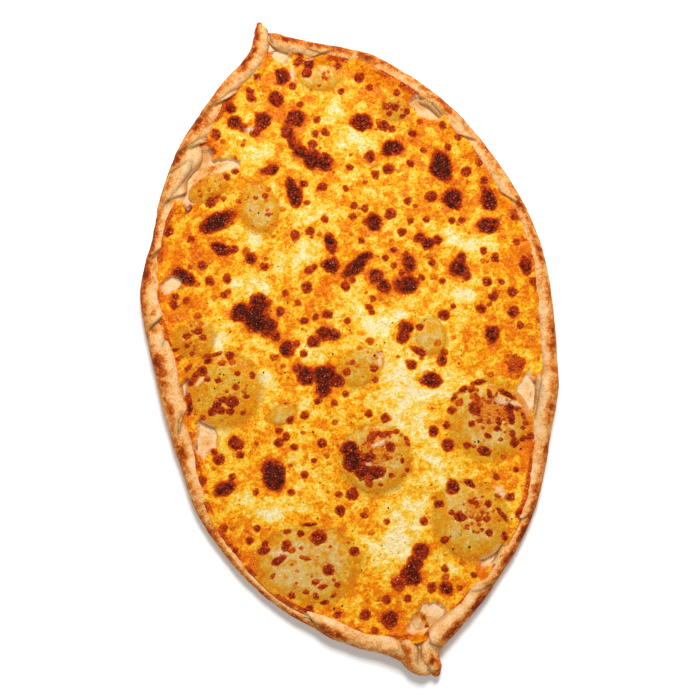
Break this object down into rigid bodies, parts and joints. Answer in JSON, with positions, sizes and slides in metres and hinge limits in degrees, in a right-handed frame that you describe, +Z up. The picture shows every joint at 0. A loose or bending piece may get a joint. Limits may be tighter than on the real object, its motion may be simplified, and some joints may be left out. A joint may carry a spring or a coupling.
{
  "type": "turkish pide",
  "caption": "Long oval open flatbread with pinched tips and rolled edges, filled with browned melted cheese and potato slices, flat underneath.",
  "frame": {"origin": "on the surface that the bread lies on, under the middle of its outline", "axes": "+Y along the bread from the forked tip to the tip with one nub, +X across it to the right as seen from above, +Z up out of the filling"},
  "size_m": [0.216, 0.361, 0.0112],
  "materials": {
    "baked_crust": "baked wheat dough, floury and matte, pale gold with browned ridges",
    "melted_cheese": "melted and browned cheese, oily and glossy, cream to orange with dark blisters and black pepper",
    "potato": "baked potato slice under a thin film of oil and cheese, moist, with browned spots"
  },
  "bodies": {
    "root": {"crust": "baked_crust", "cheese": "melted_cheese", "potato_slice_01": "potato", "potato_slice_02": "potato", "potato_slice_03": "potato", "potato_slice_04": "potato", "potato_slice_05": "potato", "potato_slice_06": "potato", "potato_slice_07": "potato", "potato_slice_08": "potato", "potato_slice_09": "potato", "potato_slice_10": "potato", "potato_slice_11": "potato", "potato_slice_12": "potato", "potato_slice_13": "potato"}
  },
  "joints": []
}
